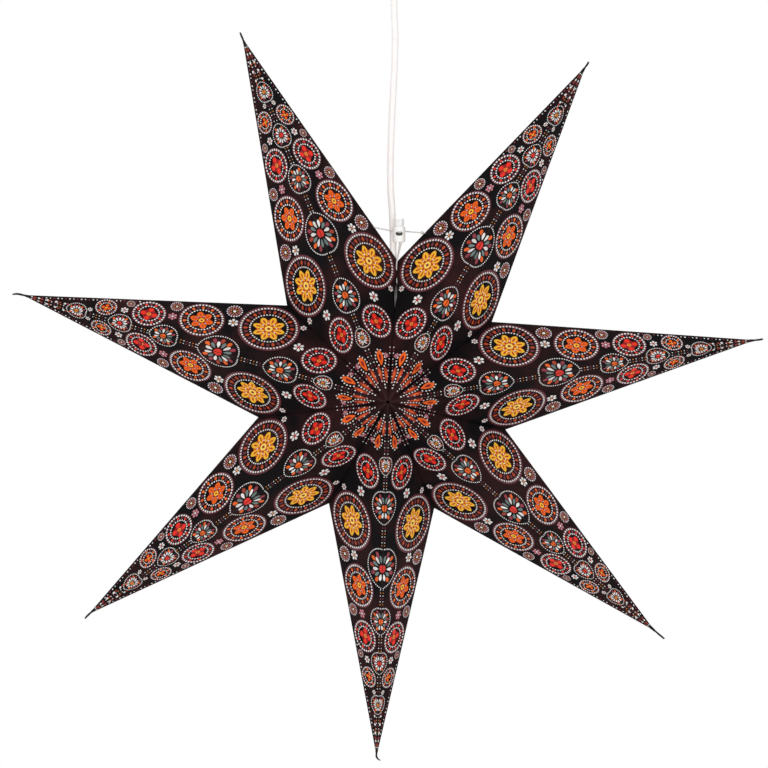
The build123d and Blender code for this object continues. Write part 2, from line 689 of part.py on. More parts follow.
os.makedirs("parts", exist_ok=True)
for name, shape in nodes.items():
    export_step(shape, f"parts/{name}.step")
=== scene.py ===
import math
import random

import bmesh
import bpy
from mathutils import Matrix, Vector
from mathutils.geometry import delaunay_2d_cdt


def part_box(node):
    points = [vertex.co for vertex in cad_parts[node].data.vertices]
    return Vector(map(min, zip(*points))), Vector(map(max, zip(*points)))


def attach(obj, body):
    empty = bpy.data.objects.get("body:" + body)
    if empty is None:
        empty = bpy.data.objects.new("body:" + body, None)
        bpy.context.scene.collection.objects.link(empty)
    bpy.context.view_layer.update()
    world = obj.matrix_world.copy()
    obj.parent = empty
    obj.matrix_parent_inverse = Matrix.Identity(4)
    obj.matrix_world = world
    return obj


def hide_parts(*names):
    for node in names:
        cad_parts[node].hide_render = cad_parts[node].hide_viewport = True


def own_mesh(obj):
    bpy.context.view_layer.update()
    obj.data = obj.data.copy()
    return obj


# A folded black card star on a white lamp cord, seen a little from above. Sizes are in millimetres.
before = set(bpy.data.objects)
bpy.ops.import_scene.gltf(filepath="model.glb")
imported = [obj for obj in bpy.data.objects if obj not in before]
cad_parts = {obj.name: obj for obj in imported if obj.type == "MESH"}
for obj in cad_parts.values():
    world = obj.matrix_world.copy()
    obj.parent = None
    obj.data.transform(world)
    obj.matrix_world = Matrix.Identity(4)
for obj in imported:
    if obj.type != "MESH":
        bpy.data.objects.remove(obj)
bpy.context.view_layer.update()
MM = 0.001

# Star, as the solids have it
POINT_COUNT = 7
TIP_RADIUS = 291.0
VALLEY_RADIUS = 102.0
HALF_DEPTH = 76.0
SEAM_ANGLE = 4.2
STAR_LEAN = 3.4
SEAM_Z = -283.0
CARD = 0.4
FLAP_WIDTH = 7.0
APEX_CUT = 1.8
# How far a facet's middle bows out, least and most
CARD_BOW = (-0.5, 1.3)
# Places closer than this become one, and a fold sharper than this many degrees looks sharp.
WELD = 0.02
SHARP_FOLD = 12.0
# Tips: degrees anticlockwise, reach outwards, length of the pinched end, how far its last bit bends aside
TIPS = (
    (-2.1, 6.5, 4.5, 0.0),
    (0.3, 3.6, 7.5, 1.8),
    (1.6, 5.9, 4.2, 0.0),
    (2.0, 6.2, 3.0, 3.8),
    (0.2, -0.3, 9.7, 0.0),
    (-0.9, 3.2, 5.9, 0.5),
    (-0.7, 7.2, 3.5, 0.8),
)
# Pinched end: width, how far behind the tip it starts, rows of its mesh, sway to a side
SPIKE_WIDTH = 1.5
SPIKE_ROOT = 5.0
SPIKE_ROWS = 10
SPIKE_SWAY = 1.2
# Shares of its width: at its start, lost up to its end, and its thickness. Then its first turn and its twist
SPIKE_START = 1.1
SPIKE_LOSS = 0.55
SPIKE_THICKNESS = 0.75
SPIKE_TURN = 0.3
SPIKE_TWIST = 1.6
# Valleys, from one side of the seam round to the other: degrees anticlockwise, reach outwards
VALLEYS = (
    (-2.5, 3.2),
    (0.0, 0.0),
    (2.3, 1.1),
    (2.7, 0.1),
    (-0.1, 1.3),
    (-2.1, -1.6),
    (-1.4, -3.1),
    (0.0, 0.0),
)

# Beside the seam the left card reaches over to the right one, in front of the cord and behind it.
SEAM_LAP = 4.9
CORD_ROOM = 3.3
# Slit that stays open in front and at the back: width, start and end along the fold from the corner
SEAM_SLITS = ((2.4, 0.11, 0.365), (3.4, 0.05, 0.62))
SLIT_EASE = 0.13
SEAM_BEND = 13.0
SEAM_FLAP_START = 0.42
SEAM_FLAP_LEAN = 0.6
# Other glue flaps: start and end along the fold, and the parts all flaps are made of
FLAP_START = 0.03
FLAP_END = 0.97
FLAP_PARTS = 8

# Windows of one facet: along the ridge, away from it, radius, lobes, paper, radius of the print round it
WINDOWS = (
    (64.0, 21.0, 6.5, 4, "red", 14.1),
    (112.0, 38.0, 13.0, 8, "yellow", 23.7),
    (163.0, 27.0, 9.5, 6, "orange", 17.7),
    (203.0, 18.0, 7.0, 4, "red", 13.3),
    (236.0, 12.0, 4.0, 4, "orange", 8.7),
)
LOBE_DEPTH = 0.26
# Round a window: beads, tongues of two inks, a dark band with beads and a fine line.
# Places are shares of the way from the window's rim to the edge of the print round it.
INNER_BEADS = 0.14
TONGUES = (0.25, 0.61)
TONGUE_FILL = 0.66
TONGUE_SPACING = 4.0
DARK_BAND = (0.68, 0.93)
FINE_LINE = (0.93, 1.01)
OUTER_BEADS = 0.80
TONGUE_INKS = {
    "yellow": ("deep_orange", "wine"),
    "orange": ("orange", "wine"),
    "red": ("red", "wine"),
}
SMALL_BEAD = 0.64
LARGE_BEAD = 0.85
BEAD_SIDES = 8
# Petals: where they are widest and how narrow their foot is, as shares
PETAL_BELLY = 0.64
PETAL_FOOT = 0.12
# Beads round the apex, in lines that part round a leaf: radius, count, first place, spacing and the parting
APEX_BEAD = 0.7
APEX_BEAD_COUNT = 13
APEX_BEADS_FROM = 12.0
APEX_BEAD_STEP = 2.6
APEX_PARTING = 4.8
APEX_PARTING_FROM = 27.0
APEX_PARTING_LENGTH = 18.0
# More of them run along the folds, this far from the fold and further out by this much.
APEX_FOLD_GAP = 1.6
APEX_FOLD_SHIFT = 5.0
# Beads by the outer edge, which is bare up to a share of the way to the tip
EDGE_BARE = 0.5
EDGE_INSET = 2.4
EDGE_STEP = 3.0
EDGE_START = 14.0
EDGE_END = 12.0
EDGE_GAP = 0.8
# Beads beside the ridge, between its flowers
RIDGE_BEAD = 0.5
RIDGE_BEAD_ASIDE = 1.4
RIDGE_BEADS_FROM = 52.0
RIDGE_BEADS_END = 12.0
RIDGE_STEP = 2.5
RIDGE_GAP = 1.2
RIDGE_INKS = ("white", "rose", "white", "amber")
# Beads that lead up to the tip, each with a leaf behind it: back from the tip, away from the ridge, radius
TIP_BEADS = (
    (34.0, 3.6, 1.0),
    (27.0, 2.9, 1.1),
    (20.0, 2.1, 1.0),
    (13.0, 1.4, 0.8),
    (7.5, 0.9, 0.6),
)

# Half flowers on the ridge, which its two facets make whole: along the ridge, radius, heart
RIDGE_FLOWERS = (
    (53.0, 6.2, "amber"),
    (88.0, 11.5, "orange"),
    (139.0, 14.0, "red"),
    (184.0, 9.5, "orange"),
    (220.0, 7.8, "red"),
    (256.0, 6.8, "amber"),
)
# Small flowers between the windows: along the ridge, away from it, radius
FLOWERS = (
    (83.4, 27.9, 4.2),
    (139.5, 33.4, 4.0),
    (185.1, 22.0, 3.6),
    (221.7, 14.4, 3.0),
    (246.5, 5.2, 2.0),
    (36.5, 16.8, 2.2),
    (87.5, 48.6, 2.6),
)
FLOWER_INKS = (("white", "red"), ("white", "amber"), ("pink", "white"))
# How far the arc of beads round a half flower is from its middle, as a share of its radius
RIDGE_ARC = 1.18
# How far its heart keeps from the ridge
RIDGE_CLEAR = 0.15
# Small rounds of beads by the outer edge: along the ridge, away from it, radius
ROUNDS = (
    (143.0, 45.2, 6.3),
    (186.0, 33.2, 4.9),
    (219.8, 22.6, 3.3),
)

# Each printed shape has its own strength, from this upwards.
INK_FADE = 0.78
# Linear colours of the inks and papers
INKS = {
    "white": (0.97, 0.935, 0.91),
    "pink": (0.696, 0.247, 0.303),
    "rose": (0.337, 0.039, 0.062),
    "amber": (0.899, 0.281, 0.034),
    "brick": (0.404, 0.045, 0.02),
    "slate": (0.169, 0.236, 0.225),
    "maroon": (0.085, 0.015, 0.024),
    "wine": (0.14, 0.018, 0.03),
    "yellow": (0.97, 0.528, 0.039),
    "pale_yellow": (0.97, 0.696, 0.134),
    "orange": (0.97, 0.142, 0.01),
    "deep_orange": (0.54, 0.062, 0.009),
    "red": (0.88, 0.03, 0.016),
    "deep_red": (0.292, 0.011, 0.012),
}
# Paper in a window, petals printed on it, heart
PANES = {
    "yellow": ("deep_orange", "yellow", "pale_yellow"),
    "orange": ("deep_red", "orange", "yellow"),
    "red": ("deep_red", "red", "amber"),
}

# Folds are rubbed grey: width of the band beside one, how far the wear reaches and how strong it is
FOLD_BAND = 0.8
WEAR_REACH = 0.6
WEAR = 0.24

# Outline of a facet's mesh: parts of the ridge and of the outer edge
RIDGE_PARTS = 44
EDGE_PARTS = 34
# Closer places by the valley corner: shares of the edge up to it, and of the valley fold back from it
NEAR_EDGE = (0.955, 0.965, 0.973, 0.98, 0.986, 0.992, 0.997)
NEAR_FOLD = (0.0, 0.01, 0.02, 0.03, 0.04, 0.05, 0.06, 0.07, 0.09)
# Inner places of a facet's mesh: spacing, and how far from the seam's corner it is used
GRIDS = ((6.6, 1000.0), (2.6, 30.0), (0.9, 10.0))

# Heights of the layers over the card's outer face
BAND_LIFT = 0.05
PRINT_LIFT = 0.11
DOT_LIFT = 0.16
LINING_LIFT = -0.62
LINING_INSET = 0.4
PANE_LIFT = -0.54
PANE_PRINT_LIFT = -0.49
PANE_HEART_LIFT = -0.45

# Leaves round the apex: share of the facet's angle, near and far end, width, ink, height
APEX_LEAVES = (
    (0.5, 30.5, 43.0, 6.0, "orange", PRINT_LIFT),
    (0.5, 34.0, 40.0, 2.6, "deep_red", DOT_LIFT),
    (0.28, 16.0, 30.0, 3.6, "brick", PRINT_LIFT),
    (0.28, 20.0, 27.0, 1.5, "orange", DOT_LIFT),
    (0.72, 16.0, 30.0, 3.6, "brick", PRINT_LIFT),
    (0.72, 20.0, 27.0, 1.5, "orange", DOT_LIFT),
)
LEAF_END = 0.05

# Cord lock: how far below the barrel's top the button is painted dark as painted shade down in the barrel,
# and the spring under it
PAINTED_SHADE_DEPTH = 3.0
SPRING_WIRE = 0.5
SPRING_TURNS = 2.5
SPRING_STEPS = 32

# Camera
VIEW_AZIMUTH = -1.3
VIEW_ELEVATION = 8.0
VIEW_DISTANCE = 3000.0
PIXELS_PER_MM = 1.268
PICTURE = 768
LOOK_OFFSET = Vector((-1.3, 0, 3.6))
SENSOR = 36.0
SIGHT = 100.0

# Stage, in metres and watts. Lamps: place, size, power
LAMPS = {
    "key": ((-0.9, -2.2, 1.0), 1.6, 19),
    "fill": ((1.5, -2.0, -0.6), 1.8, 12.5),
    "low": ((-0.7, -2.0, -1.9), 1.8, 13.5),
    "back": ((0.4, 2.2, 0.8), 1.8, 17),
}
SKY_LIGHT = 0.71
FLOOR_HALF = 5.0
FLOOR_HEIGHT = -4.6
FLOOR_WHITE = 0.93

# Cord route: the tube's ends, and between them the photograph's slight lean
CORD_DIAMETER = 5.2
CORD_TOP = -11.0
CORD_FOOT = -314.0
CORD_ROUTE = (
    (0, 0, CORD_FOOT),
    (0, 0, -252),
    (-2.9, 0, -222),
    (-1.2, 0, -168),
    (1.9, 0, -115),
    (0, 0, -78),
    (0, 0, CORD_TOP),
)

random.seed(7)
LEAN = math.radians(STAR_LEAN)
UP_ANGLE = 90.0 - STAR_LEAN
CENTRE = Vector((-VALLEY_RADIUS * math.sin(LEAN), 0, SEAM_Z - VALLEY_RADIUS * math.cos(LEAN)))
SPAN = (360.0 - SEAM_ANGLE) / POINT_COUNT
APEXES = (CENTRE + Vector((0, -HALF_DEPTH, 0)), CENTRE + Vector((0, HALF_DEPTH, 0)))

# One facet laid flat: apex at the origin, tip along u, valley corner up in v
HALF_SPAN = math.radians(SPAN / 2)
RIDGE_LENGTH = math.hypot(TIP_RADIUS, HALF_DEPTH)
VALLEY_LENGTH = math.hypot(VALLEY_RADIUS, HALF_DEPTH)
VALLEY_U = (TIP_RADIUS * VALLEY_RADIUS * math.cos(HALF_SPAN) + HALF_DEPTH**2) / RIDGE_LENGTH
VALLEY_V = math.sqrt(VALLEY_LENGTH**2 - VALLEY_U**2)
FACET_ANGLE = math.atan2(VALLEY_V, VALLEY_U)
EDGE_LENGTH = math.hypot(RIDGE_LENGTH - VALLEY_U, VALLEY_V)


# Materials


def shader(name, roughness=0.5, **values):
    """A new material with one Principled shader, and its node tree."""
    material = bpy.data.materials.new(name)
    material.use_nodes = True
    tree = material.node_tree
    surface = tree.nodes["Principled BSDF"]
    surface.inputs["Roughness"].default_value = roughness
    for socket, value in values.items():
        surface.inputs[socket.replace("_", " ")].default_value = value
    return material, tree, surface


def noise(tree, scale, detail=4.0, stretch=(1, 1, 1)):
    """Noise over the object's own coordinates, in features per metre."""
    place = tree.nodes.new("ShaderNodeTexCoord")
    mapping = tree.nodes.new("ShaderNodeMapping")
    mapping.inputs["Scale"].default_value = stretch
    texture = tree.nodes.new("ShaderNodeTexNoise")
    texture.inputs["Scale"].default_value = scale
    texture.inputs["Detail"].default_value = detail
    tree.links.new(place.outputs["Object"], mapping.inputs["Vector"])
    tree.links.new(mapping.outputs["Vector"], texture.inputs["Vector"])
    return texture.outputs["Fac"]


def ramp(tree, source, low, high, start=0.3, end=0.7):
    """A colour ramp between two colours."""
    node = tree.nodes.new("ShaderNodeValToRGB")
    node.color_ramp.elements[0].position = start
    node.color_ramp.elements[1].position = end
    node.color_ramp.elements[0].color = (*low, 1)
    node.color_ramp.elements[1].color = (*high, 1)
    tree.links.new(source, node.inputs["Fac"])
    return node.outputs["Color"]


def spread(tree, source, low, high):
    """Maps 0 to 1 onto a range of plain numbers."""
    node = tree.nodes.new("ShaderNodeMapRange")
    node.inputs["To Min"].default_value = low
    node.inputs["To Max"].default_value = high
    tree.links.new(source, node.inputs["Value"])
    return node.outputs["Result"]


def bump(tree, surface, source, strength, distance=0.0001):
    """Fine relief on the surface."""
    node = tree.nodes.new("ShaderNodeBump")
    node.inputs["Strength"].default_value = strength
    node.inputs["Distance"].default_value = distance
    tree.links.new(source, node.inputs["Height"])
    tree.links.new(node.outputs["Normal"], surface.inputs["Normal"])


def blended(tree, amount, first, second, blend="MIX"):
    """One colour over another; the amount, or either colour, may be a socket."""
    node = tree.nodes.new("ShaderNodeMix")
    node.data_type = "RGBA"
    node.blend_type = blend
    for socket, value in ((node.inputs[0], amount), (node.inputs[6], first), (node.inputs[7], second)):
        if isinstance(value, (int, float, tuple)):
            socket.default_value = value
        else:
            tree.links.new(value, socket)
    return node.outputs[2]


def attribute(tree, name, output="Color"):
    node = tree.nodes.new("ShaderNodeAttribute")
    node.attribute_name = name
    return node.outputs[output]


def card_material():
    """Black printed card: faint fibres, brownish clouds of ink and folds rubbed grey."""
    material, tree, surface = shader("black_card", 0.66, Specular_IOR_Level=0.04)
    cloud = noise(tree, 30.0, 5.0)
    fibre = noise(tree, 1500.0, 3.0)
    black = ramp(tree, cloud, (0.0052, 0.0044, 0.0052), (0.036, 0.0115, 0.0118), 0.43, 0.73)
    worn = blended(tree, attribute(tree, "rub", "Fac"), black, (0.07, 0.06, 0.056, 1))
    tree.links.new(worn, surface.inputs["Base Color"])
    tree.links.new(spread(tree, cloud, 0.58, 0.78), surface.inputs["Roughness"])
    bump(tree, surface, fibre, 0.25, 0.0002)
    return material


def coloured_material(name, roughness, grain, relief, depth, **values):
    """Ink or paper in the colours that each face carries, a little uneven."""
    material, tree, surface = shader(name, roughness, **values)
    cloud = noise(tree, grain, 4.0)
    uneven = ramp(tree, cloud, (1 - depth, 1 - depth, 1 - depth), (1.0, 1.0, 1.0))
    colour = blended(tree, 1.0, attribute(tree, "ink"), uneven, "MULTIPLY")
    tree.links.new(colour, surface.inputs["Base Color"])
    tree.links.new(spread(tree, cloud, roughness - 0.08, roughness + 0.12), surface.inputs["Roughness"])
    bump(tree, surface, noise(tree, 1900.0, 2.0), relief)
    return material


def moulded_material(name, low, high, roughness, grain=260.0, relief=0.08, **values):
    """Smooth moulded plastic, glaze or glass with slight cloudiness."""
    material, tree, surface = shader(name, roughness, **values)
    cloud = noise(tree, grain, 5.0)
    tree.links.new(ramp(tree, cloud, low, high), surface.inputs["Base Color"])
    tree.links.new(spread(tree, cloud, roughness * 0.8, roughness * 1.25), surface.inputs["Roughness"])
    bump(tree, surface, noise(tree, grain * 6, 2.0), relief)
    return material


def brushed_material(name, low, high, roughness):
    """Metal with fine drawn lines."""
    material, tree, surface = shader(name, roughness, Metallic=1.0)
    lines = noise(tree, 900.0, 3.0, (0.05, 1, 1))
    tree.links.new(ramp(tree, lines, low, high), surface.inputs["Base Color"])
    tree.links.new(spread(tree, lines, roughness * 0.75, roughness * 1.3), surface.inputs["Roughness"])
    bump(tree, surface, lines, 0.1)
    return material


def button_material():
    """Cloudy plastic, painted near-black below the barrel's top: painted shade where the button stands down
    in the lock's barrel.
    """
    material, tree, surface = shader("cloudy_plastic_painted_shade", 0.2)
    place = tree.nodes.new("ShaderNodeTexCoord")
    axes = tree.nodes.new("ShaderNodeSeparateXYZ")
    tree.links.new(place.outputs["Object"], axes.inputs["Vector"])
    height = tree.nodes.new("ShaderNodeMapRange")
    barrel_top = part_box("lock_barrel")[1][2]
    height.inputs["From Min"].default_value = barrel_top - PAINTED_SHADE_DEPTH * MM
    height.inputs["From Max"].default_value = barrel_top - PAINTED_SHADE_DEPTH / 2 * MM
    tree.links.new(axes.outputs["Z"], height.inputs["Value"])
    clear = ramp(tree, noise(tree, 500.0, 5.0), (0.78, 0.78, 0.77), (0.88, 0.88, 0.87))
    # Painted shade: the button turns near-black below the barrel's top, standing in for the shadow down in
    # the lock's hole.
    colour = blended(tree, height.outputs["Result"], (0.02, 0.018, 0.018, 1), clear)
    tree.links.new(colour, surface.inputs["Base Color"])
    bump(tree, surface, noise(tree, 3000.0, 2.0), 0.08)
    return material


def string_material():
    """Pale twisted thread, with painted shade: its colour darkens in the same twist bands that make its
    grooves.
    """
    material, tree, surface = shader("twisted_string", 0.8)
    place = tree.nodes.new("ShaderNodeTexCoord")
    wave = tree.nodes.new("ShaderNodeTexWave")
    wave.bands_direction = "DIAGONAL"
    wave.inputs["Scale"].default_value = 420.0
    tree.links.new(place.outputs["Object"], wave.inputs["Vector"])
    twist = wave.outputs["Fac"]
    # Painted shade: the darker colour follows the twist's grooves, the same bands that drive the relief.
    tree.links.new(ramp(tree, twist, (0.50, 0.46, 0.44), (0.86, 0.83, 0.81)), surface.inputs["Base Color"])
    bump(tree, surface, twist, 0.6, 0.0002)
    return material


# Star geometry


def round_star(radius, angle):
    turn = math.radians(angle)
    return CENTRE + Vector((radius * math.cos(turn), 0, radius * math.sin(turn)))


def tip_place(number):
    """The tip of a point, counted anticlockwise from the seam."""
    sway, reach, *_ = TIPS[number]
    return round_star(TIP_RADIUS + reach, UP_ANGLE + SEAM_ANGLE / 2 + SPAN * (number + 0.5) + sway)


def valley_place(fold):
    sway, reach = VALLEYS[fold]
    return round_star(VALLEY_RADIUS + reach, UP_ANGLE + SEAM_ANGLE / 2 + SPAN * fold + sway)


def edge_distance(u, v):
    """How far a place on a facet is from the edge between its tip and its valley corner."""
    return ((RIDGE_LENGTH - u) * VALLEY_V - v * (RIDGE_LENGTH - VALLEY_U)) / EDGE_LENGTH


def valley_distance(u, v):
    """How far a place on a facet is from its valley fold."""
    return (u * VALLEY_V - v * VALLEY_U) / VALLEY_LENGTH


def smooth(share):
    share = min(1.0, max(0.0, share))
    return share * share * (3 - 2 * share)


class Facet:
    """One of the four faces of a point, bowed a little as card is."""

    def __init__(self, apex, number, fold):
        tip, valley = tip_place(number), valley_place(fold)
        if fold == 0:
            valley += (valley - tip).normalized() * SEAM_LAP
        self.corners = (apex, tip, valley)
        normal = (tip - apex).cross(valley - apex).normalized()
        self.flipped = normal.dot(apex - CENTRE) < 0
        self.normal = -normal if self.flipped else normal
        self.bow = random.uniform(*CARD_BOW)
        self.front = math.copysign(1.0, apex.y)
        self.by_seam = fold in (0, POINT_COUNT)
        self.from_seam = Vector((-1 if fold == 0 else 1, 0, 0))
        self.slit = SEAM_SLITS[0 if self.front < 0 else 1]

    def seam_bend(self, u, v):
        """How far the card bends away from the seam there."""
        width, start, end = self.slit
        share = 1 - (u * VALLEY_U + v * VALLEY_V) / VALLEY_LENGTH**2
        opening = smooth((share - start) / SLIT_EASE) * smooth((end - share) / SLIT_EASE)
        reach = max(0.0, 1 - max(0.0, valley_distance(u, v)) / SEAM_BEND)
        return width / 2 * opening * reach * reach

    def place(self, u, v, lift=0.0):
        """A place on the facet, in metres: u along the ridge, v away from it, lift off the card."""
        valley_share = v / VALLEY_V
        tip_share = (u - valley_share * VALLEY_U) / RIDGE_LENGTH
        apex_share = 1 - valley_share - tip_share
        apex, tip, valley = self.corners
        flat = apex * apex_share + tip * tip_share + valley * valley_share
        middleness = 27 * apex_share * tip_share * valley_share
        rise = lift + self.bow * middleness
        spot = flat + self.normal * rise
        if self.by_seam:
            spot = spot + self.from_seam * self.seam_bend(u, v)
            room = CORD_ROOM + lift
            if abs(spot.x) < room and spot.z > CORD_FOOT:
                spot.y = self.front * max(self.front * spot.y, math.sqrt(room**2 - spot.x**2))
        return spot * MM


# Flat shapes of the ornament


def circle(u, v, radius, sides, turn=0.0):
    places = []
    for n in range(sides):
        angle = turn + math.tau * n / sides
        places.append((u + radius * math.cos(angle), v + radius * math.sin(angle)))
    return places


def half_circle(u, radius):
    """Half a circle beside the ridge."""
    places = []
    for n in range(BEAD_SIDES + 1):
        angle = math.pi * n / BEAD_SIDES
        places.append((u + radius * math.cos(angle), RIDGE_CLEAR + radius * math.sin(angle)))
    return places


def petal(u, v, angle, near, far, width, blunt=0.35):
    """A petal that points away from (u, v), with a narrow foot."""
    steps = 14 if far - near > 7 else 6
    side = []
    for n in range(steps):
        share = n / (steps - 1)
        swelling = math.sin(math.pi / 2 * min(1.0, share / PETAL_BELLY))
        closing = (1 - blunt) * max(0.0, (share - PETAL_BELLY) / (1 - PETAL_BELLY)) ** 2
        side.append((share, PETAL_FOOT + (1 - PETAL_FOOT) * swelling - closing))
    outline = side + [(share, -half) for share, half in reversed(side)]
    cos, sin = math.cos(angle), math.sin(angle)
    places = []
    for share, half in outline:
        reach = near + (far - near) * share
        aside = half * width / 2
        places.append((u + reach * cos - aside * sin, v + reach * sin + aside * cos))
    return places


def bead(u, v, radius, ink):
    return circle(u, v, radius, BEAD_SIDES), ink, DOT_LIFT


def ring_of_beads(u, v, ring, radius, spacing, ink, start=0.0, end=math.tau):
    """Beads on a circle, or on part of one."""
    whole = end - start > math.tau - 0.01
    count = max(2, round((end - start) * ring / spacing))
    shapes = []
    for n in range(count if whole else count + 1):
        angle = start + (end - start) * n / count
        spot = (u + ring * math.cos(angle), v + ring * math.sin(angle))
        shapes.append((circle(*spot, radius, BEAD_SIDES, angle), ink, DOT_LIFT))
    return shapes


def band(u, v, near, far, ink, lift, sides=56):
    """A flat ring, as a round of small faces."""
    shapes = []
    for n in range(sides):
        first, second = math.tau * n / sides, math.tau * (n + 1) / sides
        corners = []
        for reach, angle in ((near, first), (far, first), (far, second), (near, second)):
            corners.append((u + reach * math.cos(angle), v + reach * math.sin(angle)))
        shapes.append((corners, ink, lift))
    return shapes


def window_surround(u, v, inner, outer, inks):
    """Beads, tongues, a dark band with beads and a fine line round one window."""
    gap = outer - inner
    size = SMALL_BEAD if outer < 10 else LARGE_BEAD
    petals = 2 * round(math.pi * (inner + outer) / 2 / TONGUE_SPACING)
    shapes = []
    for (near, far), ink in ((DARK_BAND, "maroon"), (FINE_LINE, "wine")):
        shapes += band(u, v, inner + near * gap, inner + far * gap, ink, BAND_LIFT)
    shapes += ring_of_beads(u, v, inner + INNER_BEADS * gap, size * 0.82, size * 2.7, "white")
    near, far = (inner + share * gap for share in TONGUES)
    width = TONGUE_FILL * math.tau * (near + far) / 2 / petals
    for n in range(petals):
        angle = math.tau * (n + 0.5) / petals
        shapes.append((petal(u, v, angle, near, far, width), inks[n % len(inks)], PRINT_LIFT))
    shapes += ring_of_beads(u, v, inner + OUTER_BEADS * gap, size, size * 3.0, "white")
    return shapes


def flower(u, v, radius, petals, ink, heart):
    """A small whole flower."""
    shapes = []
    for n in range(petals):
        angle = math.tau * n / petals + 0.26
        width = radius * 3.4 / petals
        shapes.append((petal(u, v, angle, radius * 0.28, radius, width, 0.5), ink, PRINT_LIFT))
    shapes.append(bead(u, v, radius * 0.24, heart))
    return shapes


def ridge_flower(u, radius, heart):
    """Half a flower on the ridge: heart, two rows of petals and an arc of beads."""
    shapes = [(half_circle(u, radius * 0.24), heart, PRINT_LIFT)]
    for n in range(6):
        angle = math.pi * (n + 0.5) / 6
        ink = ("white", "slate")[n % 2] if radius > 8 else "white"
        shapes.append((petal(u, 0, angle, radius * 0.34, radius * 0.78, radius * 0.20), ink, PRINT_LIFT))
    for n in range(1, 6):
        angle = math.pi * n / 6
        ink = ("brick", "orange", "rose")[n % 3]
        shapes.append((petal(u, 0, angle, radius * 0.66, radius * 1.02, radius * 0.24), ink, BAND_LIFT))
    size = 0.5 if radius < 9 else 0.6
    return shapes + ring_of_beads(u, 0, radius * RIDGE_ARC, size, size * 3.2, "white", 0.08, math.pi - 0.08)


def bead_round(u, v, radius):
    """A small round of beads with a white heart."""
    shapes = band(u, v, radius * 0.55, radius, "maroon", BAND_LIFT, 20)
    shapes.append((circle(u, v, radius * 0.2, BEAD_SIDES), "white", PRINT_LIFT))
    shapes += ring_of_beads(u, v, radius * 0.42, radius * 0.09, radius * 0.33, "amber")
    shapes += ring_of_beads(u, v, radius * 0.66, radius * 0.1, radius * 0.32, "pink")
    return shapes + ring_of_beads(u, v, radius * 0.92, radius * 0.1, radius * 0.34, "white")


def apex_rays():
    """Leaves round the apex, with lines of beads between them."""
    shapes = []
    for share, near, far, width, ink, lift in APEX_LEAVES:
        shapes.append((petal(0, 0, FACET_ANGLE * share, near, far, width, LEAF_END), ink, lift))
    for n in range(APEX_BEAD_COUNT):
        reach = APEX_BEADS_FROM + APEX_BEAD_STEP * n
        past = max(0.0, reach - APEX_PARTING_FROM)
        aside = APEX_PARTING * math.sin(math.pi * past / APEX_PARTING_LENGTH)
        for side in (-1, 1) if aside > 0.8 else (1,):
            angle = FACET_ANGLE / 2 + side * math.atan2(aside, reach)
            shapes.append(bead(reach * math.cos(angle), reach * math.sin(angle), APEX_BEAD, "white"))
        out = reach + APEX_FOLD_SHIFT
        for angle in (APEX_FOLD_GAP / reach, FACET_ANGLE - APEX_FOLD_GAP / reach):
            ink = ("white", "rose")[n % 2]
            shapes.append(bead(out * math.cos(angle), out * math.sin(angle), APEX_BEAD * 0.8, ink))
    return shapes


def edge_border():
    """A row of beads just inside the outer edge, near the tip."""
    shapes = []
    medallions = [(u, v, outer) for u, v, *_, outer in WINDOWS] + list(ROUNDS)
    for n in range(int((EDGE_LENGTH - EDGE_START - EDGE_END) / EDGE_STEP)):
        share = (EDGE_START + EDGE_STEP * n) / EDGE_LENGTH
        u = VALLEY_U + (RIDGE_LENGTH - VALLEY_U) * share - VALLEY_V / EDGE_LENGTH * EDGE_INSET
        v = VALLEY_V * (1 - share) - (RIDGE_LENGTH - VALLEY_U) / EDGE_LENGTH * EDGE_INSET
        clear = all(math.dist((u, v), spot[:2]) > spot[2] + EDGE_GAP for spot in medallions)
        if share > EDGE_BARE and v > 1.5 and clear:
            size = 0.68 if n % 3 == 0 else 0.55
            shapes.append(bead(u, v, size, "rose" if n % 3 == 1 else "white"))
    return shapes


def ridge_beads():
    """Fine beads beside the ridge, between its flowers."""
    shapes = []
    for n in range(int((RIDGE_LENGTH - RIDGE_BEADS_END - RIDGE_BEADS_FROM) / RIDGE_STEP) + 1):
        u = RIDGE_BEADS_FROM + RIDGE_STEP * n
        if all(abs(u - spot) > radius * RIDGE_ARC + RIDGE_GAP for spot, radius, _ in RIDGE_FLOWERS):
            shapes.append(bead(u, RIDGE_BEAD_ASIDE, RIDGE_BEAD, RIDGE_INKS[n % len(RIDGE_INKS)]))
    return shapes


def tip_beads():
    """Larger beads and slim leaves that lead up to the tip."""
    shapes = []
    for back, rise, size in TIP_BEADS:
        shapes.append(bead(RIDGE_LENGTH - back, rise, size, "white"))
        leaf = petal(RIDGE_LENGTH - back - 4.5, rise * 1.15, -0.06, 0.4, 3.4, 1.3)
        shapes.append((leaf, "brick", PRINT_LIFT))
    return shapes


def facet_print():
    """The ornament of one facet: shapes as (outline, ink, lift)."""
    shapes = []
    for u, v, radius, _, paper, outer in WINDOWS:
        shapes += window_surround(u, v, radius, outer, TONGUE_INKS[paper])
    for number, (u, v, radius) in enumerate(FLOWERS):
        ink, heart = FLOWER_INKS[number % len(FLOWER_INKS)]
        shapes += flower(u, v, radius, 6, ink, heart)
    for u, radius, heart in RIDGE_FLOWERS:
        shapes += ridge_flower(u, radius, heart)
    for u, v, radius in ROUNDS:
        shapes += bead_round(u, v, radius)
    return shapes + apex_rays() + edge_border() + ridge_beads() + tip_beads()


# Windows


def lobed(radius, lobes, angle):
    """The radius of a window's rim at an angle."""
    return radius * (1 - LOBE_DEPTH * (0.5 - 0.5 * math.cos(lobes * angle)))


def window_rim(u, v, radius, lobes, grow=0.0):
    steps = 9 * lobes
    rim = []
    for n in range(steps):
        angle = math.tau * n / steps
        reach = lobed(radius, lobes, angle) + grow
        rim.append((u + reach * math.cos(angle), v + reach * math.sin(angle)))
    return rim


def in_window(spot, window):
    u, v, radius, lobes = window[:4]
    angle = math.atan2(spot.y - v, spot.x - u)
    return math.dist(spot, (u, v)) < lobed(radius, lobes, angle)


